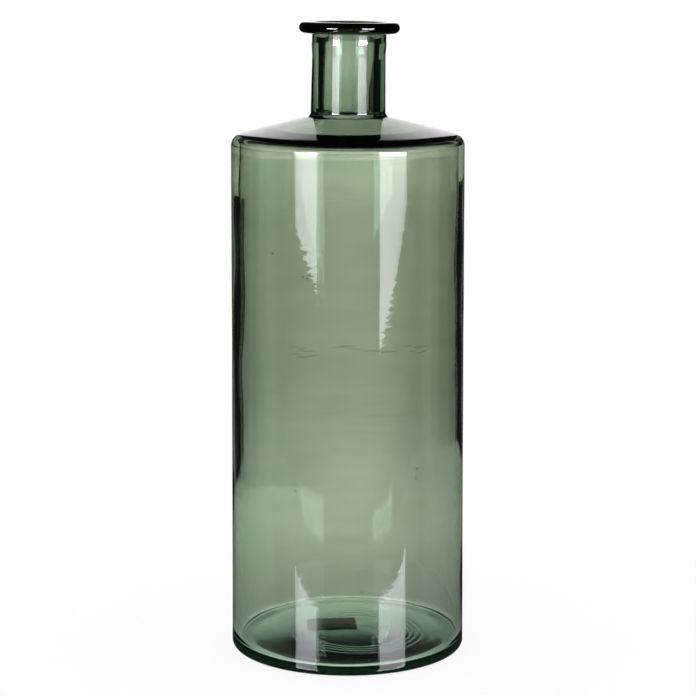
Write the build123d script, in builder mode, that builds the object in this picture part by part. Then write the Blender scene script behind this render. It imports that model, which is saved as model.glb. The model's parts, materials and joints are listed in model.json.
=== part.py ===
import os
from math import cos, radians, sin, tan

from build123d import *

# A heavy bottle vase of grey-green recycled glass, in millimetres.
# It stands on the XY plane with its axis on +Z. The glass is built as the zones
# that are formed one after another and fused, each meeting the next face to face.

# Body: a tall cylinder that narrows a little towards the shoulder
height = 400.0
heel_diameter = 149.7
body_taper = 2.9  # how much narrower the body's diameter is at the shoulder
wall_thickness = 4.6
wall_bow = 0.2  # how far the wall's side lies inside a straight line at its middle

# Base: a standing ring round a shallow hollow, with a crowned floor inside
heel_round = 4.0
standing_width = 3.35
hollow_depth = 0.35
hollow_slope_width = 5.5
floor_thickness = 7.4
floor_crown = 3.0
floor_corner_round = 1.5
heel_joint_rise = 5.0  # the wall is fused on this far above the floor's rounded corner

# Ring marks that the mould leaves in the hollow, a little off the vase's axis
mark_offset = 6.5
mark_margin = 14.5  # from the widest ring to the disc's edge
mark_groove_radius = 0.6
mark_ring_shares = (0.73, 0.82, 0.9, 1.0)

# Shoulder
top_length = 77.2  # from the end of the body's straight side up to the mouth
shoulder_joint_drop = 9.0  # the wall is fused on this far below the shoulder's corner
shoulder_inner_round = 3.9
shoulder_slope = 13.5  # degrees below level
shoulder_inner_slope = 15.0  # degrees, inside the glass
neck_root_round = 3.0
bore_root_round = 4.0

# Neck, and the collar above the mould's parting line
bore_diameter = 32.0
neck_wall = 7.5
waist_draw = 0.6  # how far the waist lies inside the neck's root
waist_drop = 7.6  # the waist's height below the parting line
neck_top_draw = 0.05
collar_step = 0.25
collar_gap = 6.2  # from the parting line to the lip ring
mouth_rim = 1.2  # what is left of the collar's top round the flared mouth

# Lip ring
lip_overhang = 8.3
lip_height = 7.2

# Blank paper label in the hollow
label_width = 32.0
label_depth = 24.5
label_thickness = 0.15
label_corner_round = 1.5
label_turn = 4.0  # degrees
label_place_shares = (-0.17, 0.22)  # of the disc's radius

# Radii that follow from the sizes above
heel_radius = heel_diameter / 2
shoulder_radius = heel_radius - body_taper / 2
disc_radius = heel_radius - heel_round - standing_width - hollow_slope_width
mark_radius = disc_radius - mark_offset - mark_margin
bore_radius = bore_diameter / 2
neck_root_radius = bore_radius + neck_wall
neck_top_radius = neck_root_radius - neck_top_draw
collar_radius = neck_top_radius - collar_step
mouth_radius = collar_radius - mouth_rim
lip_radius = collar_radius + lip_overhang
shoulder_corner_round = shoulder_inner_round + wall_thickness

# Heights that follow
floor_height = hollow_depth + floor_thickness
floor_corner_top = floor_height + floor_corner_round
heel_joint = floor_corner_top + heel_joint_rise
shoulder_height = height - top_length
shoulder_joint = shoulder_height - shoulder_joint_drop
collar_start = height - lip_height - collar_gap


def wall_radius(z):
    """Outer radius of the body's side at a height."""
    share = (z - heel_round) / (shoulder_height - heel_round)
    straight = heel_radius + (shoulder_radius - heel_radius) * share
    return straight - wall_bow * 4 * share * (1 - share)


def hollow_radius(z):
    """Inner radius of the body's side at a height."""
    return wall_radius(z) - wall_thickness


# Shoulder cone: its outer and inner lines start on arcs about one corner centre
slope = radians(shoulder_slope)
inner_slope = radians(shoulder_inner_slope)
corner_reach = shoulder_radius - shoulder_corner_round
cone_start = (
    corner_reach + shoulder_corner_round * sin(slope),
    shoulder_height + shoulder_corner_round * cos(slope),
)
inner_cone_start = (
    corner_reach + shoulder_inner_round * sin(inner_slope),
    shoulder_height + shoulder_inner_round * cos(inner_slope),
)


def tangent_length(round_radius, fall):
    """How far a round reaches along a line of this fall, from its corner with an upright line."""
    return round_radius * tan((radians(90) - fall) / 2)


# Where the cone's lines would meet the neck and the bore without their rounds
neck_root_height = cone_start[1] + (cone_start[0] - neck_root_radius) * tan(slope)
bore_root_height = inner_cone_start[1] + (inner_cone_start[0] - bore_radius) * tan(inner_slope)
neck_root_reach = tangent_length(neck_root_round, slope)
bore_root_reach = tangent_length(bore_root_round, inner_slope)
neck_start = neck_root_height + neck_root_reach

os.makedirs("parts", exist_ok=True)

# Base disc: crowned floor above, flat hollow below with the mould's ring marks
with BuildPart() as base_disc:
    with BuildSketch(Plane.XZ):
        with BuildLine():
            Polyline(
                (0, floor_height + floor_crown),
                (0, hollow_depth),
                (disc_radius, hollow_depth),
                (disc_radius, floor_height),
            )
            TangentArc((0, floor_height + floor_crown), (disc_radius, floor_height), tangent=(1, 0))
        make_face()
    revolve(axis=Axis.Z)
    for ring_share in mark_ring_shares:
        with Locations((mark_offset, 0, hollow_depth)):
            Torus(mark_radius * ring_share, mark_groove_radius, mode=Mode.SUBTRACT)
base_disc.part.label = "base_disc"
export_step(base_disc.part, "parts/base_disc.step")

# Heel ring: the foot that the vase stands on, round the disc
with BuildPart() as heel_ring:
    with BuildSketch(Plane.XZ):
        with BuildLine():
            Polyline(
                (disc_radius, floor_height),
                (disc_radius, hollow_depth),
                (disc_radius + hollow_slope_width, 0),
                (heel_radius - heel_round, 0),
            )
            TangentArc((heel_radius - heel_round, 0), (heel_radius, heel_round), tangent=(1, 0))
            corner_top = (hollow_radius(floor_corner_top), floor_corner_top)
            Polyline(
                (heel_radius, heel_round),
                (wall_radius(heel_joint), heel_joint),
                (hollow_radius(heel_joint), heel_joint),
                corner_top,
            )
            corner_foot = (corner_top[0] - floor_corner_round, floor_height)
            TangentArc(corner_top, corner_foot, tangent=(0, -1))
            Line(corner_foot, (disc_radius, floor_height))
        make_face()
    revolve(axis=Axis.Z)
heel_ring.part.label = "heel_ring"
export_step(heel_ring.part, "parts/heel_ring.step")

# Body wall: the tall side between the heel ring and the shoulder
with BuildPart() as body_wall:
    wall_middle = (heel_joint + shoulder_joint) / 2
    with BuildSketch(Plane.XZ):
        with BuildLine():
            outer_side = ThreePointArc(
                (wall_radius(heel_joint), heel_joint),
                (wall_radius(wall_middle), wall_middle),
                (wall_radius(shoulder_joint), shoulder_joint),
            )
            inner_side = ThreePointArc(
                (hollow_radius(shoulder_joint), shoulder_joint),
                (hollow_radius(wall_middle), wall_middle),
                (hollow_radius(heel_joint), heel_joint),
            )
            Line(outer_side @ 1, inner_side @ 0)
            Line(inner_side @ 1, outer_side @ 0)
        make_face()
    revolve(axis=Axis.Z)
body_wall.part.label = "body_wall"
export_step(body_wall.part, "parts/body_wall.step")

# Shoulder: rounded corner and shallow cone, up to the end of the neck root's round
with BuildPart() as shoulder:
    with BuildSketch(Plane.XZ):
        with BuildLine():
            Line((wall_radius(shoulder_joint), shoulder_joint), (shoulder_radius, shoulder_height))
            TangentArc((shoulder_radius, shoulder_height), cone_start, tangent=(0, 1))
            cone_end = (
                neck_root_radius + neck_root_reach * cos(slope),
                neck_root_height - neck_root_reach * sin(slope),
            )
            Line(cone_start, cone_end)
            TangentArc(cone_end, (neck_root_radius, neck_start), tangent=(-cos(slope), sin(slope)))
            bore_root = (bore_radius, bore_root_height + bore_root_reach)
            Polyline((neck_root_radius, neck_start), (bore_radius, neck_start), bore_root)
            inner_cone_end = (
                bore_radius + bore_root_reach * cos(inner_slope),
                bore_root_height - bore_root_reach * sin(inner_slope),
            )
            TangentArc(bore_root, inner_cone_end, tangent=(0, -1))
            Line(inner_cone_end, inner_cone_start)
            inner_corner = (shoulder_radius - wall_thickness, shoulder_height)
            inner_fall = (cos(inner_slope), -sin(inner_slope))
            TangentArc(inner_cone_start, inner_corner, tangent=inner_fall)
            Polyline(
                inner_corner,
                (hollow_radius(shoulder_joint), shoulder_joint),
                (wall_radius(shoulder_joint), shoulder_joint),
            )
        make_face()
    revolve(axis=Axis.Z)
shoulder.part.label = "shoulder"
export_step(shoulder.part, "parts/shoulder.step")

# Neck: thick tube that narrows to a waist and flares to the parting line
with BuildPart() as neck:
    with BuildSketch(Plane.XZ):
        with BuildLine():
            Polyline(
                (bore_radius, neck_start),
                (neck_root_radius, neck_start),
                (neck_root_radius - waist_draw, collar_start - waist_drop),
                (neck_top_radius, collar_start),
                (bore_radius, collar_start),
                close=True,
            )
        make_face()
    revolve(axis=Axis.Z)
neck.part.label = "neck"
export_step(neck.part, "parts/neck.step")

# Neck collar: from the parting line to the mouth, with a bore that flares open
with BuildPart() as neck_collar:
    with BuildSketch(Plane.XZ):
        with BuildLine():
            Polyline(
                (bore_radius, collar_start),
                (collar_radius, collar_start),
                (collar_radius, height),
                (mouth_radius, height),
            )
            TangentArc((bore_radius, collar_start), (mouth_radius, height), tangent=(0, 1))
        make_face()
    revolve(axis=Axis.Z)
neck_collar.part.label = "neck_collar"
export_step(neck_collar.part, "parts/neck_collar.step")

# Lip ring: laid round the collar's top, with a half-round outer edge
with BuildPart() as lip_ring:
    lip_edge = lip_radius - lip_height / 2
    with BuildSketch(Plane.XZ):
        with BuildLine():
            Polyline(
                (lip_edge, height),
                (collar_radius, height),
                (collar_radius, height - lip_height),
                (lip_edge, height - lip_height),
            )
            ThreePointArc(
                (lip_edge, height - lip_height),
                (lip_radius, height - lip_height / 2),
                (lip_edge, height),
            )
        make_face()
    revolve(axis=Axis.Z)
lip_ring.part.label = "lip_ring"
export_step(lip_ring.part, "parts/lip_ring.step")

# Base label: blank paper on the hollow's flat face
with BuildPart() as base_label:
    label_place = [share * disc_radius for share in label_place_shares]
    with BuildSketch(Plane.XY.offset(hollow_depth - label_thickness)):
        with Locations(Location((*label_place, 0), label_turn)):
            RectangleRounded(label_width, label_depth, label_corner_round)
    extrude(amount=label_thickness)
base_label.part.label = "base_label"
export_step(base_label.part, "parts/base_label.step")
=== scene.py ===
import json
from math import atan2, cos, hypot, pi, radians, sin, tan

import bpy
import numpy as np
from bpy.props import FloatProperty, FloatVectorProperty, IntProperty, PointerProperty
from bpy.types import Operator, Panel, PropertyGroup
from mathutils import Matrix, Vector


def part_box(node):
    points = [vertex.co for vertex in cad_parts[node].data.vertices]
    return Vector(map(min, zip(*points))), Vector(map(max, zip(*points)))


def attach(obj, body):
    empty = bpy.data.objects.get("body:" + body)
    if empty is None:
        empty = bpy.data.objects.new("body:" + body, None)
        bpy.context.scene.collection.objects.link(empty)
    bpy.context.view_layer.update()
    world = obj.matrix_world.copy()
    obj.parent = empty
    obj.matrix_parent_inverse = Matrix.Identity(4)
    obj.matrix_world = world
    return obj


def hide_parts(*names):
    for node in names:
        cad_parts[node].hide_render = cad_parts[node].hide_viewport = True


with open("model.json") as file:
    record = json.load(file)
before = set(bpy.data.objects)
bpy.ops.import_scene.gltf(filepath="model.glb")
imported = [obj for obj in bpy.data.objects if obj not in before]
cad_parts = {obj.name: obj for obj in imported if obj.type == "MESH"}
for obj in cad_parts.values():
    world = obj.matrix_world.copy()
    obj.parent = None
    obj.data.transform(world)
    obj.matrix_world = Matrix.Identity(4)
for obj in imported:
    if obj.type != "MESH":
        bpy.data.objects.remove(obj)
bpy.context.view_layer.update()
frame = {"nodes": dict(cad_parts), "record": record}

bl_info = {
    "name": "Bottle Vase",
    "version": (1, 0, 0),
    "blender": (4, 5, 0),
    "location": "3D View > Sidebar > Vase",
    "description": "Blows a heavy recycled-glass bottle vase round its frame and sets it on a white table",
    "category": "Mesh",
}

BODY = "root"
MILLI = 0.001


# Sizes that the frame holds, in metres

def foot_of(node):
    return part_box(node)[0].z


def top_of(node):
    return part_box(node)[1].z


def radius_of(node):
    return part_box(node)[1].x


def mount(name):
    return next(m for m in frame["record"]["mounts"] if m["name"] == name)


GLASS_NODES = [s["node"] for s in frame["record"]["subparts"] if s["material_slot"] == "glass"]
HEIGHT = top_of("lip_ring")
LIP_FOOT = foot_of("lip_ring")
LIP_RADIUS = radius_of("lip_ring")
COLLAR_FOOT = foot_of("neck_collar")
COLLAR_RADIUS = radius_of("neck_collar")
NECK_FOOT = foot_of("neck")
NECK_RADIUS = radius_of("neck")
BORE_RADIUS = mount("mouth_bore")["dims"]["r_mm"] * MILLI
HEEL_RADIUS = radius_of("heel_ring")
DISC_RADIUS = radius_of("base_disc")
HOLLOW_TOP = foot_of("base_disc")


# Settings

def size(name, description, default):
    """A length that a user may change, in metres."""
    return FloatProperty(
        name=name, description=description, default=default, precision=5, subtype="DISTANCE", unit="LENGTH"
    )


def turn(name, description, degrees):
    """An angle that a user may change, given in degrees."""
    return FloatProperty(
        name=name, description=description, default=radians(degrees), subtype="ANGLE", unit="ROTATION"
    )


def level(name, description, default):
    """A plain number that a user may change."""
    return FloatProperty(name=name, description=description, default=default, precision=3, min=0.0)


def tint(name, description, default):
    """A colour that a user may change."""
    return FloatVectorProperty(
        name=name, description=description, default=default, size=3, min=0.0, max=1.0, subtype="COLOR"
    )


class VaseGlassSettings(PropertyGroup):
    """Sizes and looks of the glass vessel."""

    wall: size("Wall", "Mean thickness of the side", 0.0046)
    wall_shift: size("Wall shift", "How far the inside lies off the axis, to the right", 0.0005)
    taper: size("Taper", "How much narrower the body's diameter is at the shoulder", 0.0029)
    bow: size("Bow", "How far the side lies inside a straight line at its middle", 0.0002)
    shoulder_height: size("Shoulder height", "Where the side ends and the shoulder's corner begins", 0.3228)
    shoulder_slope: turn("Shoulder slope", "Fall of the shoulder's cone below level", 13.5)
    inner_slope: turn("Inner slope", "Fall of the shoulder's inside below level", 16.5)
    rim_slope: turn("Rim slope", "Fall of the flatter rim inside the shoulder's corner", 7.0)
    rim_width: size("Rim width", "Width of the flatter rim inside the shoulder's corner", 0.016)
    shoulder_inner_round: size("Shoulder inner round", "Radius inside the shoulder's corner", 0.0039)
    heel_round: size("Heel round", "Radius of the heel's outer edge", 0.004)
    hollow_slope: size("Hollow slope", "Width of the slope between standing ring and hollow", 0.0055)
    hollow_lift: size("Hollow lift", "Air left between the hollow and the label", 0.00005)
    floor_height: size("Floor height", "Mean height of the floor's edge inside", 0.00775)
    floor_crown: size("Floor crown", "Rise of the inside floor from its edge to its middle", 0.003)
    floor_lean: size("Floor lean", "How much higher the floor is at the back than in front", 0.0045)
    floor_round: size("Floor round", "Radius where the wall meets the floor inside", 0.0015)
    neck_root_round: size("Neck root round", "Radius where the neck meets the shoulder", 0.003)
    bore_root_round: size("Bore root round", "Radius where the bore opens into the body", 0.004)
    mouth_flare: size("Mouth flare", "How much wider the bore is at the mouth, per side", 0.0075)
    waist_draw: size("Waist draw", "How far the neck's waist lies inside its root", 0.0006)
    waist_drop: size("Waist drop", "The waist's height below the parting line", 0.0076)
    neck_top_draw: size("Neck top draw", "How far the parting line lies inside the neck's root", 0.00005)
    neck_lean: size("Neck lean", "How far the mouth lies off the axis, to the right", 0.001)
    lip_tilt: turn("Lip tilt", "How far the lip falls to the right", 0.6)
    melt: size("Melt", "How far fire polishing has softened the edges", 0.0004)
    outer_wave: size("Outer wave", "Height of the slow waves on the outside", 0.00012)
    inner_wave: size("Inner wave", "Height of the slow waves on the inside", 0.00016)
    swell: size("Swell", "How much thicker the wall is under the shoulder", 0.0003)
    swell_reach: size("Swell reach", "How far down the thicker wall reaches", 0.03)
    mark_offset: size("Ring mark offset", "How far the mould's rings lie off the axis", 0.0065)
    mark_margin: size("Ring mark margin", "From the widest ring to the hollow's edge", 0.0145)
    mark_depth: size("Ring mark depth", "Depth of each ring", 0.00007)
    mark_width: size("Ring mark width", "Half width of each ring", 0.0007)
    segments: IntProperty(name="Segments", description="Faces round the vessel", default=192, min=48)
    absorption: tint("Absorption colour", "Colour that thick glass keeps", (0.142, 0.342, 0.208))
    # Painted shade: a dark colour for the lip, standing in for the dark room that its thick ring mirrors and
    # bends
    lip_painted_shade: tint("Lip painted shade", "Colour that the lip's thick ring keeps", (0.06, 0.09, 0.055))
    heel_film: tint("Heel film", "Colour of the fine wear on the heel", (0.06, 0.25, 0.11))
    density: level("Absorption density", "How fast thick glass darkens, per metre", 120.0)


class VaseLabelSettings(PropertyGroup):
    """Looks of the paper label under the base."""

    paper: tint("Paper", "Colour of the label's paper", (0.62, 0.70, 0.62))
    fibre: tint("Fibre", "Colour of the fibres in the paper", (0.47, 0.53, 0.46))


class VaseStageSettings(PropertyGroup):
    """Table, light and camera."""

    camera_distance: size("Camera distance", "From the vase's axis to the camera", 1.40)
    camera_height: size("Camera height", "Camera above the table", 0.4388)
    camera_pitch: turn("Camera pitch", "How far the camera looks down", 9.92)
    camera_roll: turn("Camera roll", "How far the camera leans", 0.05)
    camera_side: size("Camera side", "How far the camera stands to the right", 0.0002)
    lens: level("Lens", "Focal length in millimetres on a 36 mm sensor", 115.42)
    floor_radius: size("Floor radius", "Radius of the table top", 0.45)
    floor_drop: size("Floor drop", "Air left under the standing ring", 0.0003)
    floor_glow: level("Floor glow", "Brightness of the table round the base, seen through glass", 0.74)
    base_glow: level("Base glow", "Brightness of the table under the base, seen through glass", 1.70)
    low_pool: level("Low pool", "How much brighter the backdrop is at the table's rim", 0.28)
    floor_mirror: level("Floor mirror", "Share of light that the table's gloss mirrors", 0.82)
    backdrop: level("Backdrop", "Brightness of the backdrop seen through glass", 0.85)
    backdrop_tint: tint("Backdrop tint", "Colour of the backdrop seen through glass", (1.0, 0.975, 0.8))
    low_tint: tint("Low tint", "Colour of the table and the low backdrop in the glass", (1.0, 0.94, 0.87))
    neck_pool: level("Neck pool", "How much brighter the backdrop is behind the neck", 0.80)
    neck_tint: tint("Neck tint", "Colour of the backdrop behind the neck", (1.0, 0.905, 0.81))
    sheen: level("Sheen", "Brightness of the backdrop mirrored in the glass", 1.3)
    dark: level("Dark", "Brightness of the unlit room in the glass", 0.015)
    softbox: level("Softbox", "Brightness of the softboxes in the glass", 5.5)
    softbox_tint: tint("Softbox tint", "Colour of the softboxes in the glass", (0.955, 0.905, 1.0))
    flag_start: turn("Flag start", "Where the low dark flags begin, off straight behind", 18.0)
    flag_stop: turn("Flag stop", "Where the dark flags end, off straight behind", 77.0)
    flag_top: turn("Flag top", "How far the flags reach above the horizon", 16.0)
    high_flag_start: turn("High flag start", "Where the high dark flags begin, off straight behind", 36.0)
    top_flag_start: turn("Top flag start", "Where the topmost dark flags begin, off straight behind", 8.0)
    left_step_drop: turn("Left flag step", "How far below the horizon the low left flag ends", 5.9)
    right_step_drop: turn("Right flag step", "How far below the horizon the low right flag ends", 4.4)
    flag_foot: turn("Flag foot", "How far the flags reach below the horizon", 12.75)
    roof_start: turn("Roof start", "Where the backdrop behind the glass begins to fade", 13.0)
    roof_stop: turn("Roof stop", "Where the room behind the glass is dark", 23.0)
    ceiling_start: turn("Ceiling start", "Where the backdrop begins to fade", 21.0)
    ceiling_stop: turn("Ceiling stop", "Where the room above is dark", 40.0)


# Glass vessel: its half section

class Outline:
    """Half section of the vessel as close points (radius, height), each in a named zone."""

    def __init__(self, start, step):
        self.points = [start]
        self.zones = []
        self.step = step

    def line(self, zone, *ends):
        """Straight runs to each end in turn."""
        for end in ends:
            start = self.points[-1]
            count = max(1, round(hypot(end[0] - start[0], end[1] - start[1]) / self.step))
            for i in range(1, count + 1):
                share = i / count
                self.points.append(tuple(a + (b - a) * share for a, b in zip(start, end)))
                self.zones.append(zone)

    def arc(self, zone, end, heading):
        """Arc to end that leaves the last point along heading, an angle from the radius towards +Z."""
        start = self.points[-1]
        chord = hypot(end[0] - start[0], end[1] - start[1])
        swing = atan2(end[1] - start[1], end[0] - start[0]) - heading
        swing = (swing + pi) % (2 * pi) - pi
        count = max(4, round(chord * swing / sin(swing) / self.step))
        for i in range(1, count + 1):
            part = swing * i / count
            reach = chord * sin(part) / sin(swing)
            self.points.append(
                (start[0] + reach * cos(heading + part), start[1] + reach * sin(heading + part))
            )
            self.zones.append(zone)


OUTLINE_STEP = 0.0002
SIDE_POINTS = 9  # along the bowed side


def vessel_outline(g):
    """Walks the half section from under the base, up the outside and down the inside to the floor."""
    shoulder_radius = HEEL_RADIUS - g.taper / 2
    slope = g.shoulder_slope
    corner = g.shoulder_inner_round + g.wall
    corner_reach = shoulder_radius - corner
    cone_start = (corner_reach + corner * sin(slope), g.shoulder_height + corner * cos(slope))
    rim_start = (
        corner_reach + g.shoulder_inner_round * sin(g.rim_slope),
        g.shoulder_height + g.shoulder_inner_round * cos(g.rim_slope),
    )
    rim_end = (rim_start[0] - g.rim_width, rim_start[1] + g.rim_width * tan(g.rim_slope))
    root_reach = g.neck_root_round * tan((pi / 2 - slope) / 2)
    bore_reach = g.bore_root_round * tan((pi / 2 - g.inner_slope) / 2)
    bore_root = rim_end[1] + (rim_end[0] - BORE_RADIUS) * tan(g.inner_slope)
    lip_edge = LIP_RADIUS - (HEIGHT - LIP_FOOT) / 2
    lip_middle = (HEIGHT + LIP_FOOT) / 2
    hollow = HOLLOW_TOP + g.hollow_lift
    floor_corner = g.floor_height + g.floor_round

    def side(z, inset):
        """A point of the body's side at a height, inset by a thickness."""
        share = (z - g.heel_round) / (g.shoulder_height - g.heel_round)
        bow = g.bow * 4 * share * (1 - share)
        return (HEEL_RADIUS - g.taper / 2 * share - bow - inset, z)

    side_heights = np.linspace(g.heel_round, g.shoulder_height, SIDE_POINTS)
    inner_heights = np.linspace(g.shoulder_height, floor_corner, SIDE_POINTS)

    run = Outline((0.0, hollow), OUTLINE_STEP)
    run.line("hollow", (DISC_RADIUS, hollow))
    run.line("foot", (DISC_RADIUS + g.hollow_slope, 0.0), (HEEL_RADIUS - g.heel_round, 0.0))
    run.arc("foot", (HEEL_RADIUS, g.heel_round), 0.0)
    run.line("wall", *[side(z, 0.0) for z in side_heights[1:]])
    run.arc("shoulder", cone_start, pi / 2)
    cone_end = (NECK_RADIUS + root_reach * cos(slope), NECK_FOOT - root_reach * (1 + sin(slope)))
    run.line("shoulder", cone_end)
    run.arc("shoulder", (NECK_RADIUS, NECK_FOOT), pi - slope)
    run.line(
        "neck",
        (NECK_RADIUS - g.waist_draw, COLLAR_FOOT - g.waist_drop),
        (NECK_RADIUS - g.neck_top_draw, COLLAR_FOOT),
        (COLLAR_RADIUS, COLLAR_FOOT),
        (COLLAR_RADIUS, LIP_FOOT),
    )
    run.line("lip", (lip_edge, LIP_FOOT))
    run.arc("lip", (LIP_RADIUS, lip_middle), 0.0)
    run.arc("lip", (lip_edge, HEIGHT), pi / 2)
    mouth = BORE_RADIUS + g.mouth_flare
    run.line("lip", (mouth, HEIGHT))
    flare_foot = (COLLAR_FOOT + LIP_FOOT) / 2
    run.arc("bore", (BORE_RADIUS, flare_foot), -pi / 2 - 2 * atan2(g.mouth_flare, HEIGHT - flare_foot))
    run.line("bore", (BORE_RADIUS, bore_root + bore_reach))
    bore_end = (
        BORE_RADIUS + bore_reach * cos(g.inner_slope),
        bore_root - bore_reach * sin(g.inner_slope),
    )
    run.arc("bore", bore_end, -pi / 2)
    run.line("inner shoulder", rim_end, rim_start)
    run.arc("inner shoulder", (shoulder_radius - g.wall, g.shoulder_height), -g.rim_slope)
    run.line("inner wall", *[side(z, g.wall) for z in inner_heights[1:]])
    floor_edge = run.points[-1][0] - g.floor_round
    run.arc("floor", (floor_edge, g.floor_height), -pi / 2)
    crown_fall = 2 * atan2(g.floor_crown, floor_edge)
    run.arc("floor", (0.0, g.floor_height + g.floor_crown), pi - crown_fall)
    return run


def melted(points, reach):
    """Rounds the section's edges off, as fire polishing does, by a moving average along it."""
    spread = reach / OUTLINE_STEP
    half = int(3 * spread)
    weights = np.exp(-0.5 * (np.arange(-half, half + 1) / spread) ** 2)
    weights /= weights.sum()
    mirror = np.array((-1.0, 1.0))
    padded = np.vstack((points[half:0:-1] * mirror, points, points[-2 : -half - 2 : -1] * mirror))
    soft = np.stack([np.convolve(padded[:, i], weights, "valid") for i in (0, 1)], axis=1)
    soft[[0, -1], 0] = 0.0
    return soft


ROW_STEPS = {
    "hollow": 0.0005,
    "foot": 0.004,
    "wall": 0.003,
    "shoulder": 0.0025,
    "neck": 0.002,
    "lip": 0.002,
    "bore": 0.003,
    "inner shoulder": 0.003,
    "inner wall": 0.004,
    "floor": 0.002,
}
ROW_TURN = radians(8)
CREASE_STEP = 0.0006


def chosen_rows(points, zones, fine_band):
    """Keeps as few points of the section as its bends and its zones' steps need."""
    headings = np.arctan2(*np.gradient(points, axis=0).T[::-1])
    kept, gone, last = [0], 0.0, headings[0]
    for i in range(1, len(points) - 1):
        gone += hypot(*(points[i] - points[i - 1]))
        bend = abs((headings[i] - last + pi) % (2 * pi) - pi)
        zone = zones[i - 1]
        fine = zone == "wall" and fine_band[0] < points[i][1] < fine_band[1]
        if gone >= (CREASE_STEP if fine else ROW_STEPS[zone]) or bend >= ROW_TURN:
            kept.append(i)
            gone, last = 0.0, headings[i]
    return kept + [len(points) - 1]


# Glass vessel: unevenness of hand-made glass

# Slow waves: the fewest and most turns round the axis, then the shortest and longest wave along it
OUTER_WAVES = ((1, 14), (0.03, 0.16))
INNER_WAVES = ((1, 6), (0.08, 0.35))
SHORT_WAVES = ((5, 26), (0.02, 0.07))
SWELL_WAVES = ((1, 9), (0.1, 0.3))
SHORT_WAVE_SHARE = 0.08  # of the inner wave
WAVE_SPREAD = 1.5


def slow_waves(draw, angle, height, turns, lengths, count=28):
    """Smooth random field, about -1 to 1, of waves that cross round and along the wall."""
    field = np.zeros(np.broadcast(angle, height).shape)
    for _ in range(count):
        around = int(draw.integers(turns[0], turns[1] + 1)) * draw.choice((-1, 1))
        along = 2 * pi / draw.uniform(*lengths)
        field += draw.normal() * np.cos(around * angle + along * height + draw.uniform(0, 2 * pi))
    return field / (WAVE_SPREAD * count**0.5)


WAVE_SHARES = {
    "hollow": (0.0, 0.0),
    "foot": (0.0, 0.0),
    "wall": (1.0, 0.0),
    "shoulder": (0.8, 0.0),
    "neck": (0.7, 0.0),
    "lip": (0.3, 0.0),
    "bore": (0.0, 0.9),
    "inner shoulder": (0.0, 0.9),
    "inner wall": (0.0, 1.0),
    "floor": (0.0, 0.12),
}  # of the outer wave and of the inner wave
WAVE_SEED = 41

# Chill creases: first and last angle from the front in degrees, then height, lilt and depth in metres
CREASES = (
    (-30, -17, 0.2060, 0.0012, 0.00004),
    (-27, -12, 0.2040, 0.0014, 0.00005),
    (-30, -20, 0.2022, 0.0008, 0.00004),
    (-24, -11, 0.2014, 0.0012, 0.00005),
    (-29, -18, 0.2002, 0.0008, 0.00003),
    (-9, 6, 0.2078, 0.0009, 0.00005),
    (-4, 11, 0.2064, 0.0008, 0.00004),
    (4, 18, 0.2046, 0.0012, 0.00005),
    (12, 28, 0.2040, 0.0016, 0.00005),
    (8, 16, 0.2026, 0.0006, 0.00003),
    (26, 40, 0.2062, 0.0018, 0.00005),
    (29, 46, 0.2042, 0.0022, 0.00005),
    (31, 44, 0.2020, 0.0016, 0.00005),
    (34, 43, 0.1998, 0.0012, 0.00004),
)
CREASE_WIDTH = 0.0005
CREASE_DEEPEST = 0.00005
CREASE_BAND = (0.194, 0.213)
CREASE_BENDS = (2, 3, 5, 7)  # half waves along a crease
CREASE_LILT_SHARE = 0.6
# The crease's tint is painted shade: the skin's colour darkens along it
CREASE_SUNK_SHARE = 0.2  # the rest of a crease is its tint


def crease_depth(draw, front_angle, height):
    """How far the chill creases sink into the side, at each place."""
    depth = np.zeros(np.broadcast(front_angle, height).shape)
    for first, last, middle, lilt, deepest in CREASES:
        share = (front_angle - radians(first)) / radians(last - first)
        window = np.clip(4 * share * (1 - share), 0.0, 1.0)
        swing = sum(np.sin(k * pi * share + draw.uniform(0, 2 * pi)) / k for k in CREASE_BENDS)
        line = middle + lilt * CREASE_LILT_SHARE * swing
        depth += deepest * window * np.exp(-(((height - line) / CREASE_WIDTH) ** 2))
    return depth


SWELL_MEAN_SHARE, SWELL_WAVE_SHARE = 0.75, 0.6


def swell(g, draw, angle, height):
    """How much thicker the wall is under the shoulder, unevenly round the axis."""
    rise = np.clip((height - g.shoulder_height + g.swell_reach) / g.swell_reach, 0.0, 1.0)
    above = np.clip((height - g.shoulder_height) / g.swell_reach, 0.0, 1.0)
    uneven = SWELL_MEAN_SHARE + SWELL_WAVE_SHARE * slow_waves(draw, angle, 0 * height, *SWELL_WAVES)
    return g.swell * uneven * rise**2 * (3 - 2 * rise) * (1 - above)


MARK_RING_SHARES = (0.73, 0.82, 0.9, 1.0)
FLOOR_LEAN_REACH = 0.02
WALL_SHIFT_FADE = 0.02
NECK_LEAN_POWER = 1.5


def ring_marks(g, x, y):
    """How far the mould's rings are sunk into the hollow, at each place under the base."""
    widest = DISC_RADIUS - g.mark_offset - g.mark_margin
    out = np.hypot(x - g.mark_offset, y)
    return sum(
        g.mark_depth * np.exp(-(((out - widest * share) / g.mark_width) ** 2)) for share in MARK_RING_SHARES
    )


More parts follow.
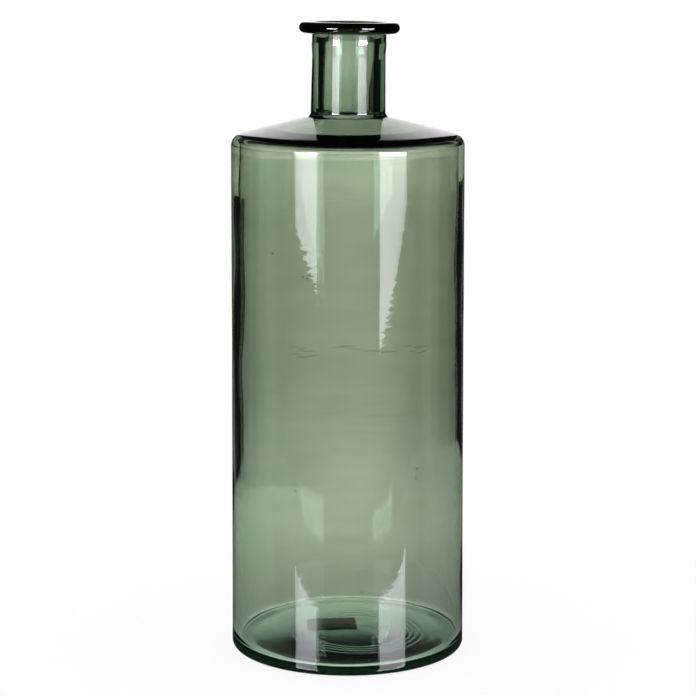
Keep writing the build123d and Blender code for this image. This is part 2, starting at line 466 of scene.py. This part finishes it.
def leaning(g, zones, x, y, z):
    """Leans the floor to the front, and the inside, the neck and its lip to the right."""
    inside = np.array([zone in ("inner shoulder", "inner wall", "floor") for zone in zones])[:, None]
    floor_top = g.floor_height + g.floor_round
    fade = np.clip(1 - (z - floor_top) / FLOOR_LEAN_REACH, 0.0, 1.0)
    z = z + inside * fade * g.floor_lean / 2 * y / HEEL_RADIUS
    below = np.clip((g.shoulder_height + WALL_SHIFT_FADE - z) / WALL_SHIFT_FADE, 0.0, 1.0)
    x = x + inside * g.wall_shift * below
    share = np.clip((z - g.shoulder_height) / (HEIGHT - g.shoulder_height), 0.0, 1.0) ** NECK_LEAN_POWER
    tilt = np.clip((z - COLLAR_FOOT) / (LIP_FOOT - COLLAR_FOOT), 0.0, 1.0)
    z = z - tilt * tan(g.lip_tilt) * (x + LIP_RADIUS)
    return x + g.neck_lean * share, y, z


def vessel_grid(g):
    """Places of the vessel's skin as rows from under the base to the floor, and how creased each place is."""
    draw = np.random.default_rng(WAVE_SEED)
    run = vessel_outline(g)
    points = melted(np.array(run.points), g.melt)
    rows = chosen_rows(points, run.zones, CREASE_BAND)
    zones = [run.zones[max(0, i - 1)] for i in rows]
    tangents = np.gradient(points, axis=0)[rows]
    tangents /= np.linalg.norm(tangents, axis=1, keepdims=True)
    radius, height = points[rows].T[:, :, None]
    out_r, out_z = tangents[:, 1, None], -tangents[:, 0, None]
    angle = np.linspace(0, 2 * pi, g.segments, endpoint=False)[None, :]
    outer, inner = np.array([WAVE_SHARES[zone] for zone in zones]).T[:, :, None]
    lift = -g.outer_wave * outer * (1 + slow_waves(draw, angle, height, *OUTER_WAVES)) / 2
    lift += g.inner_wave * inner * slow_waves(draw, angle, height, *INNER_WAVES)
    lift += g.inner_wave * SHORT_WAVE_SHARE * inner * slow_waves(draw, angle, height, *SHORT_WAVES)
    lift += inner * swell(g, draw, angle, height)
    is_wall = np.array([zone == "wall" for zone in zones])[:, None]
    front_angle = (angle + pi / 2 + pi) % (2 * pi) - pi
    creases = is_wall * crease_depth(draw, front_angle, height)
    lift -= CREASE_SUNK_SHARE * creases
    x = (radius + lift * out_r) * np.cos(angle)
    y = (radius + lift * out_r) * np.sin(angle)
    is_hollow = np.array([zone == "hollow" for zone in zones])[:, None]
    z = height + lift * out_z + is_hollow * ring_marks(g, x, y)
    return np.stack(leaning(g, zones, x, y, z), axis=2), creases / CREASE_DEEPEST


def skin(grid):
    """Vertices and faces of a skin that closes on the axis at its first and last rows."""
    rows, around = grid.shape[:2]
    inner = grid[1:-1].reshape(-1, 3)
    vertices = [tuple(grid[0].mean(axis=0)), *map(tuple, inner), tuple(grid[-1].mean(axis=0))]
    last = len(vertices) - 1
    faces = []
    for j in range(around):
        k = (j + 1) % around
        faces.append((0, 1 + k, 1 + j))
        for i in range(rows - 3):
            low, high = 1 + i * around, 1 + (i + 1) * around
            faces.append((low + j, low + k, high + k, high + j))
        top = 1 + (rows - 3) * around
        faces.append((top + j, top + k, last))
    return vertices, faces


# Seeds, small bubbles in the wall: degrees from the front, then height and radius in millimetres
SEEDS_SHOWN = (
    (-39, 262, 0.5),
    (-12, 265, 0.5),
    (13, 183, 0.45),
    (36, 129, 0.6),
    (35, 123, 0.4),
    (-26, 116, 0.5),
    (-54, 195, 0.5),
    (5, 65, 0.45),
    (7, 54, 0.4),
    (-22, 249, 0.5),
    (-20, 248, 0.6),
    (-19, 250, 0.45),
)
SEEDS_DRAWN = 46
SEED_SEED = 7
SEED_SIDES, SEED_RINGS = 8, 5
SEED_HEIGHT_SHARES = (0.03, 0.97)  # of the shoulder's height
SEED_RADII = (0.15, 0.4)  # in millimetres
SEED_DEPTH_SHARES = (0.35, 0.65)  # of the wall
SEED_STRETCHES = (1.0, 1.8)
SEED_FLAT_SHARE = 0.8


def seed_places(g):
    """Each bubble's angle round the axis, height and radius: those that show, then drawn ones."""
    draw = np.random.default_rng(SEED_SEED)
    for front, height, radius in SEEDS_SHOWN:
        yield radians(front - 90), height * MILLI, radius * MILLI
    for _ in range(SEEDS_DRAWN):
        height = draw.uniform(*SEED_HEIGHT_SHARES) * g.shoulder_height
        yield draw.uniform(0, 2 * pi), height, draw.uniform(*SEED_RADII) * MILLI


def add_seeds(g, vertices, faces):
    """Adds the bubbles as small egg-shaped skins that face inwards, each in the middle of the wall."""
    draw = np.random.default_rng(SEED_SEED + 1)
    for angle, height, radius in seed_places(g):
        share = (height - g.heel_round) / (g.shoulder_height - g.heel_round)
        reach = HEEL_RADIUS - g.taper / 2 * share - g.bow - g.wall * draw.uniform(*SEED_DEPTH_SHARES)
        stretch = draw.uniform(*SEED_STRETCHES)
        base = len(vertices)
        frame_axes = np.array(
            ((cos(angle), sin(angle), 0), (-sin(angle), cos(angle), 0), (0, 0, 1))
        )
        middle = frame_axes[0] * reach + frame_axes[2] * height
        sizes = radius * np.array((SEED_FLAT_SHARE, stretch, 1.0))

        def at(tilt, spin):
            unit = np.array((cos(tilt) * cos(spin), cos(tilt) * sin(spin), sin(tilt)))
            return tuple(middle + (unit * sizes) @ frame_axes)

        vertices.append(at(-pi / 2, 0))
        for i in range(1, SEED_RINGS + 1):
            tilt = -pi / 2 + pi * i / (SEED_RINGS + 1)
            vertices.extend(at(tilt, 2 * pi * j / SEED_SIDES) for j in range(SEED_SIDES))
        vertices.append(at(pi / 2, 0))
        tip = len(vertices) - 1
        for j in range(SEED_SIDES):
            k = (j + 1) % SEED_SIDES
            faces.append((base, base + 1 + j, base + 1 + k))
            for i in range(SEED_RINGS - 1):
                low = base + 1 + i * SEED_SIDES
                faces.append((low + j, low + SEED_SIDES + j, low + SEED_SIDES + k, low + k))
            top = base + 1 + (SEED_RINGS - 1) * SEED_SIDES
            faces.append((top + j, tip, top + k))


# Node helpers

class Nodes:
    """Short calls for a node tree: values or sockets go in, and a socket comes out."""

    def __init__(self, tree):
        self.tree = tree
        tree.nodes.clear()

    def add(self, kind, inputs=(), **settings):
        node = self.tree.nodes.new(kind)
        for key, value in settings.items():
            setattr(node, key, value)
        for key, value in dict(inputs).items():
            self.set(node.inputs[key], value)
        return node

    def set(self, socket, value):
        if isinstance(value, bpy.types.NodeSocket):
            self.tree.links.new(value, socket)
        else:
            socket.default_value = value

    def math(self, operation, a, b=0.0, clamp=False):
        node = self.add("ShaderNodeMath", operation=operation, use_clamp=clamp)
        self.set(node.inputs[0], a)
        self.set(node.inputs[1], b)
        return node.outputs[0]

    def ramp(self, value, low, high, to_low=0.0, to_high=1.0):
        """Smooth step of value from low to high."""
        node = self.add(
            "ShaderNodeMapRange",
            {"Value": value, "From Min": low, "From Max": high, "To Min": to_low, "To Max": to_high},
            interpolation_type="SMOOTHSTEP",
        )
        return node.outputs["Result"]

    def mix(self, factor, a, b, way="MIX"):
        """Mix of two colours or numbers."""
        node = self.add("ShaderNodeMix", data_type="RGBA", blend_type=way)
        self.set(node.inputs["Factor"], factor)
        self.set(node.inputs["A"], a)
        self.set(node.inputs["B"], b)
        return node.outputs["Result"]

    def noise(self, place, scale, detail):
        """Noise over a place, scaled along each axis."""
        spot = self.add("ShaderNodeMapping", {"Vector": place, "Scale": scale}).outputs[0]
        node = self.add("ShaderNodeTexNoise", {"Vector": spot, "Scale": 1.0, "Detail": detail})
        return node.outputs["Fac"]

    def blend(self, factor, a, b):
        """Mix of two shaders."""
        node = self.add("ShaderNodeMixShader")
        for socket, value in zip(node.inputs, (factor, a, b)):
            self.set(socket, value)
        return node.outputs[0]


def mirrored_only(n, path):
    """Rays that a surface has mirrored, less those that glass has bent, which count as glossy too."""
    return n.math("MULTIPLY", path["Is Glossy Ray"], n.math("SUBTRACT", 1.0, path["Is Transmission Ray"]))


def grey(value):
    return (value, value, value, 1.0)


def new_material(name):
    material = bpy.data.materials.new(name)
    material.use_nodes = True
    return material, Nodes(material.node_tree)


# Finish of the glass

# Ripples on the front: noise and bump, and where they fade round the side and low down
RIPPLE_SCALE, RIPPLE_DETAIL = (40, 40, 330), 1.0
RIPPLE_STRENGTH, RIPPLE_DEPTH = 0.12, 0.0003
RIPPLE_SIDE, RIPPLE_HEIGHT = (-0.06, -0.045), (0.09, 0.17)
LOW_RIPPLE_SHARE = 0.35
# Colour of the skin in its streaks, and painted shade darkening it in its creases
STREAK_SCALE, STREAK_DETAIL, STREAK_SPAN = (14, 14, 60), 3.0, (0.35, 0.65)
DULL_SKIN = (0.93, 0.96, 0.92, 1.0)
CLEAR_SKIN = (0.98, 0.985, 0.96, 1.0)
CREASE_PAINTED_SHADE, CREASE_SHADE_SPAN = (0.45, 0.52, 0.42, 1.0), (0.1, 1.0)
# Roughness of the worn hollow, of the ground standing ring and of stray marks
WORN_ROUGHNESS, WORN_RISE = 0.09, (0.0003, 0.0008)
GROUND_ROUGHNESS, GROUND_HEIGHT = 0.38, (0.00006, 0.0003)
STRAY_ROUGHNESS, STRAY_SCALE, STRAY_DETAIL, STRAY_SPAN = 0.004, (38, 38, 38), 4.0, (0.5, 0.8)
# Painted shade darkening the lip's colour, film on the heel
LIP_SHADE_BLUR = 0.0006
FILM_SHARE, FILM_HEIGHT = 0.06, (0.004, 0.009)
GLASS_IOR = 1.52


def recycled_glass(g):
    """Clear glass that greens with its thickness, with faint ripples, painted shade darkening the lip and the
    creases, and a worn heel.
    """
    material, n = new_material("recycled_glass")
    place = n.add("ShaderNodeTexCoord").outputs["Object"]
    axes = n.add("ShaderNodeSeparateXYZ", {0: place}).outputs
    height = axes["Z"]
    in_front = n.ramp(axes["Y"], *RIPPLE_SIDE, 1.0, 0.0)
    rippled = n.math("MULTIPLY", in_front, n.ramp(height, *RIPPLE_HEIGHT, LOW_RIPPLE_SHARE, 1.0))
    ripples = n.math("MULTIPLY", n.noise(place, RIPPLE_SCALE, RIPPLE_DETAIL), rippled)
    bump = n.add(
        "ShaderNodeBump", {"Strength": RIPPLE_STRENGTH, "Distance": RIPPLE_DEPTH, "Height": ripples}
    ).outputs[0]
    worn = n.ramp(height, *(HOLLOW_TOP + rise for rise in WORN_RISE), WORN_ROUGHNESS, 0.0)
    scuffs = n.math("ADD", worn, n.ramp(height, *GROUND_HEIGHT, GROUND_ROUGHNESS, 0.0))
    marks = n.ramp(n.noise(place, STRAY_SCALE, STRAY_DETAIL), *STRAY_SPAN, 0.0, STRAY_ROUGHNESS)
    streaks = n.ramp(n.noise(place, STREAK_SCALE, STREAK_DETAIL), *STREAK_SPAN)
    # Painted shade: the skin's colour darkens along the chill creases
    crease_shade = n.add("ShaderNodeAttribute", attribute_name="crease_shade").outputs["Fac"]
    skin_tint_and_shade = n.mix(streaks, DULL_SKIN, CLEAR_SKIN)
    skin_tint_and_shade = n.mix(n.ramp(crease_shade, *CREASE_SHADE_SPAN), skin_tint_and_shade, CREASE_PAINTED_SHADE)
    # Painted shade: above the lip's foot the glass's colour turns to the dark lip colour
    lip = n.ramp(height, LIP_FOOT - LIP_SHADE_BLUR, LIP_FOOT + LIP_SHADE_BLUR)
    shader = n.add(
        "ShaderNodeBsdfPrincipled",
        {
            "Base Color": n.mix(lip, skin_tint_and_shade, (*g.lip_painted_shade, 1.0)),
            "Roughness": n.math("ADD", scuffs, marks),
            "IOR": GLASS_IOR,
            "Transmission Weight": 1.0,
            "Normal": bump,
        },
    )
    film = n.add("ShaderNodeBsdfDiffuse", {"Color": (*g.heel_film, 1.0)}).outputs[0]
    filmed = n.blend(n.ramp(height, *FILM_HEIGHT, FILM_SHARE, 0.0), shader.outputs[0], film)
    inside = n.add("ShaderNodeVolumeAbsorption", {"Color": (*g.absorption, 1.0), "Density": g.density})
    out = n.add("ShaderNodeOutputMaterial")
    n.set(out.inputs["Surface"], filmed)
    n.set(out.inputs["Volume"], inside.outputs[0])
    return material


# Finish of the label

FIBRE_SCALE, FIBRE_DETAIL, FIBRE_SPAN = (900, 3600, 900), 4.0, (0.55, 0.75)
GRAIN_SCALE, GRAIN_DETAIL, GRAIN_SPAN = (2500, 2500, 2500), 2.0, (0.3, 0.7)
GRAIN_STRENGTH, GRAIN_DEPTH = 0.4, 0.00005
PAPER_ROUGHNESS = (0.75, 0.95)


def label_paper(label):
    """Matt paper with short fibres and a soft grain."""
    material, n = new_material("label_paper")
    place = n.add("ShaderNodeTexCoord").outputs["Object"]
    fibres = n.ramp(n.noise(place, FIBRE_SCALE, FIBRE_DETAIL), *FIBRE_SPAN)
    grain = n.noise(place, GRAIN_SCALE, GRAIN_DETAIL)
    bump = n.add(
        "ShaderNodeBump", {"Strength": GRAIN_STRENGTH, "Distance": GRAIN_DEPTH, "Height": grain}
    ).outputs[0]
    shader = n.add(
        "ShaderNodeBsdfPrincipled",
        {
            "Base Color": n.mix(fibres, (*label.paper, 1.0), (*label.fibre, 1.0)),
            "Roughness": n.ramp(grain, *GRAIN_SPAN, *PAPER_ROUGHNESS),
            "Normal": bump,
        },
    )
    out = n.add("ShaderNodeOutputMaterial")
    n.set(out.inputs["Surface"], shader.outputs[0])
    return material


# Table: places in metres from the axis

SHADOW_SHARE, SHADOW_REACH_SHARES = 0.13, (0.3, 0.97)
UNDER_BASE = (0.065, 0.11)  # from the base's glow to the table's
TOWARDS_RIM = (0.11, 0.33)  # from the table's glow to the backdrop's
RIGHT_SPAN, RIGHT_SHARE = (0.0, 0.09), 0.7
LEFT_SPAN, LEFT_SHARE = (-0.10, -0.01), 1.1
EVEN_SIDE, EVEN_REACH = (radians(60), radians(80)), (0.15, 0.25)
GLOSS_GLOW, GLOSS_ROUGHNESS = 0.1, 0.008
GLOSS_FRONT = (-0.10, -0.07)
MIRRORED_ONCE = 0.5  # a glossy depth above this has been mirrored at least once


def table_top(stage):
    """White table: softly shadowed to the eye, bright through glass, glossy where glass mirrors its front."""
    material, n = new_material("white_table")
    path = n.add("ShaderNodeLightPath").outputs
    place = n.add("ShaderNodeTexCoord").outputs["Object"]
    away = n.add("ShaderNodeVectorMath", {0: place}, operation="LENGTH").outputs["Value"]
    side = n.add("ShaderNodeSeparateXYZ", {0: place}).outputs
    plain = n.add("ShaderNodeEmission", {"Color": grey(1.0)}).outputs[0]
    lit = n.add("ShaderNodeBsdfDiffuse", {"Color": grey(1.0)}).outputs[0]
    shadowed = (stage.floor_radius * share for share in SHADOW_REACH_SHARES)
    to_eye = n.blend(n.ramp(away, *shadowed, SHADOW_SHARE, 0.0), plain, lit)
    near = n.ramp(away, *UNDER_BASE, stage.base_glow, stage.floor_glow)
    rim_glow = stage.backdrop * (1 + stage.low_pool) - stage.floor_glow
    bright = n.math("ADD", near, n.ramp(away, *TOWARDS_RIM, 0.0, rim_glow))
    right = n.ramp(side["X"], *RIGHT_SPAN, 1.0, RIGHT_SHARE)
    left = n.ramp(side["X"], *LEFT_SPAN, LEFT_SHARE, 1.0)
    off_back = n.math("ABSOLUTE", n.math("ARCTAN2", side["X"], side["Y"]))
    even = n.math("MULTIPLY", n.ramp(off_back, *EVEN_SIDE), n.ramp(away, *EVEN_REACH))
    pool = n.math("MAXIMUM", n.math("MULTIPLY", left, right), even)
    shade = n.mix(n.ramp(away, *UNDER_BASE), grey(1.0), (*stage.low_tint, 1.0))
    through = n.add(
        "ShaderNodeEmission", {"Color": shade, "Strength": n.math("MULTIPLY", bright, pool)}
    ).outputs[0]
    glow = n.add("ShaderNodeEmission", {"Color": grey(1.0), "Strength": GLOSS_GLOW}).outputs[0]
    mirror = n.add("ShaderNodeBsdfGlossy", {"Color": grey(1.0), "Roughness": GLOSS_ROUGHNESS}).outputs[0]
    to_gloss = n.blend(stage.floor_mirror, glow, mirror)
    in_front = n.ramp(side["Y"], *GLOSS_FRONT, 1.0, 0.0)
    returned = n.math("MULTIPLY", in_front, n.math("GREATER_THAN", path["Glossy Depth"], MIRRORED_ONCE))
    mirrored = n.math("MAXIMUM", mirrored_only(n, path), returned)
    seen = n.blend(path["Is Transmission Ray"], to_eye, through)
    out = n.add("ShaderNodeOutputMaterial")
    n.set(out.inputs["Surface"], n.blend(mirrored, seen, to_gloss))
    return material


# Softboxes: where their cloth turns brighter, and how much

UPPER_CLOTH, UPPER_CLOTH_LEVEL = (0.30, 0.34), 1.7
TOP_CLOTH, TOP_CLOTH_LEVEL = (0.385, 0.40), 7.0


def softbox_cloth(stage):
    """Softbox front that only shows where glass mirrors it."""
    material, n = new_material("softbox_cloth")
    path = n.add("ShaderNodeLightPath").outputs
    mirrored = n.math("GREATER_THAN", path["Glossy Depth"], MIRRORED_ONCE)
    again = n.math("MULTIPLY", path["Is Transmission Ray"], mirrored)
    shows = n.math("ADD", mirrored_only(n, path), again, clamp=True)
    height = n.add("ShaderNodeSeparateXYZ", {0: n.add("ShaderNodeTexCoord").outputs["Object"]}).outputs["Z"]
    upper = n.ramp(height, *UPPER_CLOTH, 1.0, UPPER_CLOTH_LEVEL)
    top = n.ramp(height, *TOP_CLOTH, 1.0, TOP_CLOTH_LEVEL)
    bright = n.math("MULTIPLY", stage.softbox, n.math("MULTIPLY", upper, top))
    glow = n.add("ShaderNodeEmission", {"Color": (*stage.softbox_tint, 1.0), "Strength": bright}).outputs[0]
    clear = n.add("ShaderNodeBsdfTransparent").outputs[0]
    out = n.add("ShaderNodeOutputMaterial")
    n.set(out.inputs["Surface"], n.blend(shows, clear, glow))
    material.cycles.emission_sampling = "NONE"
    return material


# Backdrop: degrees above the horizon

NECK_LEVEL = (-4.6, -3.8)
UPPER_LEVEL, UPPER_POOL = (-7.0, -4.4), 0.32
LOWER_LEVEL = (-13.3, -10.5)
LOW_TINT_LEVEL = (-13, -8.5)
CLOSED_LEVEL = (4, 6)

# Backdrop: degrees to the right of straight behind, or off it

RIGHT_TURN, RIGHT_POOL = (0, 4.5), 0.66
LEFT_TURN, LEFT_POOL = (-5, 0), 0.9
EVEN_TURN = (70, 85)
FLAG_BLUR, BESIDE_BLUR = radians(0.6), radians(2)
STEP_TURN = (-0.1, 0.1)  # where the left step gives way to the right one, in radians

# Backdrop: parts of a unit way

STEP_BLUR, FOOT_BLUR, TOP_BLUR = 0.002, 0.003, 0.03
IN_FRONT, RETURNED_FRONT = (-0.2, 0.25), (-0.2, 0.0)


def studio_world(stage):
    """White to the eye and to matt surfaces; in glass a backdrop between dark flags under a dark ceiling."""
    world = bpy.data.worlds.new("studio")
    world.use_nodes = True
    n = Nodes(world.node_tree)
    path = n.add("ShaderNodeLightPath").outputs
    way = n.add("ShaderNodeSeparateXYZ", {0: n.add("ShaderNodeTexCoord").outputs["Generated"]}).outputs
    azimuth = n.math("ARCTAN2", way["X"], way["Y"])
    off_back = n.math("ABSOLUTE", azimuth)
    dark = grey(stage.dark)

    def upwards(span, to_low=0.0, to_high=1.0):
        return n.ramp(way["Z"], *(sin(radians(degrees)) for degrees in span), to_low, to_high)

    def sideways(turned, span, to_low=0.0, to_high=1.0):
        return n.ramp(turned, *(radians(degrees) for degrees in span), to_low, to_high)

    # Flags, which stand wider apart above a step and closer above the horizon
    step = n.ramp(azimuth, *STEP_TURN, sin(-stage.left_step_drop), sin(-stage.right_step_drop))
    above = n.ramp(n.math("SUBTRACT", way["Z"], step), -STEP_BLUR, STEP_BLUR)
    gap = n.math("MULTIPLY", above, stage.high_flag_start - stage.flag_start)
    closed = n.math("MULTIPLY", upwards(CLOSED_LEVEL), stage.high_flag_start - stage.top_flag_start)
    edge = n.math("SUBTRACT", off_back, n.math("SUBTRACT", gap, closed))
    flag = n.math(
        "MULTIPLY",
        n.ramp(edge, stage.flag_start - FLAG_BLUR, stage.flag_start + FLAG_BLUR),
        n.ramp(off_back, stage.flag_stop - FLAG_BLUR, stage.flag_stop + FLAG_BLUR, 1.0, 0.0),
    )
    foot, top = sin(-stage.flag_foot), sin(stage.flag_top)
    flag = n.math("MULTIPLY", flag, n.ramp(way["Z"], foot - FOOT_BLUR, foot + FOOT_BLUR))
    flag = n.math("MULTIPLY", flag, n.ramp(way["Z"], top - TOP_BLUR, top + TOP_BLUR, 1.0, 0.0))
    shade = n.math("MAXIMUM", flag, n.ramp(way["Z"], sin(stage.roof_start), sin(stage.roof_stop)))

    # Backdrop, with its pools of light and its tints
    right = sideways(azimuth, RIGHT_TURN, 1.0, RIGHT_POOL)
    left = sideways(azimuth, LEFT_TURN, LEFT_POOL, 1.0)
    pool = n.math("MAXIMUM", n.math("MULTIPLY", left, right), sideways(off_back, EVEN_TURN))
    at_neck = upwards(NECK_LEVEL)
    neck = n.math("MULTIPLY", at_neck, stage.neck_pool)
    upper = n.math("MULTIPLY", upwards(UPPER_LEVEL, 0.0, UPPER_POOL), upwards(NECK_LEVEL, 1.0, 0.0))
    lower = upwards(LOWER_LEVEL, stage.low_pool, 0.0)
    heights = n.math("ADD", n.math("ADD", n.math("ADD", 1.0, neck), upper), lower)
    backdrop = n.math("MULTIPLY", n.math("MULTIPLY", pool, heights), stage.backdrop)
    low_down = upwards(LOW_TINT_LEVEL, 1.0, 0.0)
    backdrop_tint = n.mix(low_down, (*stage.backdrop_tint, 1.0), (*stage.low_tint, 1.0))
    backdrop_tint = n.mix(at_neck, backdrop_tint, (*stage.neck_tint, 1.0))
    through = n.mix(shade, n.mix(1.0, backdrop, backdrop_tint, "MULTIPLY"), dark)

    # What glass mirrors, and what comes back to the front from inside it
    beside = n.ramp(off_back, stage.top_flag_start, stage.top_flag_start + BESIDE_BLUR)
    ceiling = n.ramp(way["Z"], sin(stage.ceiling_start), sin(stage.ceiling_stop))
    sheen = n.mix(n.math("MAXIMUM", beside, ceiling), grey(stage.sheen), dark)
    mirrored = n.mix(n.ramp(way["Y"], *IN_FRONT), dark, sheen)
    returned = n.math("GREATER_THAN", path["Glossy Depth"], MIRRORED_ONCE)
    returned = n.math("MULTIPLY", returned, n.ramp(way["Y"], *RETURNED_FRONT, 1.0, 0.0))
    through = n.mix(returned, through, dark)

    seen = n.mix(path["Is Glossy Ray"], grey(1.0), mirrored)
    seen = n.mix(path["Is Transmission Ray"], seen, through)
    seen = n.mix(path["Is Camera Ray"], seen, grey(1.0))
    out = n.add("ShaderNodeOutputWorld")
    n.set(out.inputs["Surface"], n.add("ShaderNodeBackground", {"Color": seen}).outputs[0])
    world.cycles.sampling_method = "NONE"
    return world


# Objects

def new_mesh_object(name, vertices, faces, material, smooth=True):
    mesh = bpy.data.meshes.new(name)
    mesh.from_pydata(vertices, [], faces)
    mesh.materials.append(material)
    mesh.polygons.foreach_set("use_smooth", [smooth] * len(mesh.polygons))
    mesh.update()
    piece = bpy.data.objects.new(name, mesh)
    bpy.context.scene.collection.objects.link(piece)
    return piece


class VASE_OT_glass_vessel(Operator):
    """Blow the whole vessel as one closed skin of glass, with its seeds, in place of its zones"""

    bl_idname = "vase.glass_vessel"
    bl_label = "Glass Vessel"

    def execute(self, context):
        g = context.scene.vase_glass
        grid, creased = vessel_grid(g)
        vertices, faces = skin(grid)
        add_seeds(g, vertices, faces)
        vessel = new_mesh_object("glass_vessel", vertices, faces, recycled_glass(g))
        # How creased each vertex is, which the glass's colour turns into painted shade
        crease_shade = np.zeros(len(vertices))
        inner = creased[1:-1].ravel()
        crease_shade[1 : 1 + len(inner)] = inner
        vessel.data.attributes.new("crease_shade", "FLOAT", "POINT").data.foreach_set("value", crease_shade)
        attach(vessel, BODY)
        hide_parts(*GLASS_NODES)
        return {"FINISHED"}


class VASE_OT_base_label(Operator):
    """Give the blank label under the base its paper"""

    bl_idname = "vase.base_label"
    bl_label = "Base Label"

    def execute(self, context):
        label = frame["nodes"]["base_label"]
        label.data.materials.clear()
        label.data.materials.append(label_paper(context.scene.vase_label))
        return {"FINISHED"}


# Softbox corners in metres: near and far foot, then the height of the top edge
SOFTBOX_FEET = {
    "softbox_left": ((-0.365, -0.666, 0.145), (-0.770, -0.630, 0.178)),
    "softbox_right": ((0.314, -0.555, 0.108), (0.917, -0.594, 0.187)),
}
SOFTBOX_TOP = 0.48


class VASE_OT_stage(Operator):
    """Lay the table, hang the softboxes and the backdrop's light, and set the camera"""

    bl_idname = "vase.stage"
    bl_label = "Stage"

    def execute(self, context):
        stage = context.scene.vase_stage
        self.table(stage)
        self.softboxes(stage)
        context.scene.world = studio_world(stage)
        self.camera(context.scene, stage)
        context.scene.view_settings.view_transform = "Standard"
        return {"FINISHED"}

    def table(self, stage):
        sides = 128
        angles = np.linspace(0, 2 * pi, sides, endpoint=False)
        rim = [(stage.floor_radius * cos(a), stage.floor_radius * sin(a), -stage.floor_drop) for a in angles]
        new_mesh_object("white_table", rim, [tuple(range(sides))], table_top(stage), smooth=False)

    def softboxes(self, stage):
        cloth = softbox_cloth(stage)
        for name, (near, far) in SOFTBOX_FEET.items():
            corners = [near, far, (*far[:2], SOFTBOX_TOP), (*near[:2], SOFTBOX_TOP)]
            new_mesh_object(name, corners, [(0, 1, 2, 3)], cloth, smooth=False)

    def camera(self, scene, stage):
        data = bpy.data.cameras.new("camera")
        data.lens = stage.lens
        camera = bpy.data.objects.new("camera", data)
        scene.collection.objects.link(camera)
        place = (stage.camera_side, -stage.camera_distance, stage.camera_height)
        pitch = Matrix.Rotation(pi / 2 - stage.camera_pitch, 4, "X")
        roll = Matrix.Rotation(stage.camera_roll, 4, "Z")
        camera.matrix_world = Matrix.Translation(place) @ pitch @ roll
        scene.camera = camera


class VASE_PT_panel(Panel):
    """Settings and steps of the bottle vase"""

    bl_idname = "VASE_PT_panel"
    bl_label = "Bottle Vase"
    bl_space_type = "VIEW_3D"
    bl_region_type = "UI"
    bl_category = "Vase"

    def draw(self, context):
        for operator, settings in (
            (VASE_OT_glass_vessel, context.scene.vase_glass),
            (VASE_OT_base_label, context.scene.vase_label),
            (VASE_OT_stage, context.scene.vase_stage),
        ):
            box = self.layout.box()
            box.operator(operator.bl_idname)
            for name in settings.__annotations__:
                box.prop(settings, name)


SETTINGS = {
    "vase_glass": VaseGlassSettings,
    "vase_label": VaseLabelSettings,
    "vase_stage": VaseStageSettings,
}
CLASSES = (*SETTINGS.values(), VASE_OT_glass_vessel, VASE_OT_base_label, VASE_OT_stage, VASE_PT_panel)


def register():
    for cls in CLASSES:
        bpy.utils.register_class(cls)
    for name, settings in SETTINGS.items():
        setattr(bpy.types.Scene, name, PointerProperty(type=settings))


def unregister():
    for name in SETTINGS:
        delattr(bpy.types.Scene, name)
    for cls in reversed(CLASSES):
        bpy.utils.unregister_class(cls)


def main():
    register()
    bpy.ops.vase.glass_vessel()
    bpy.ops.vase.base_label()
    bpy.ops.vase.stage()


if __name__ == "__main__":
    main()
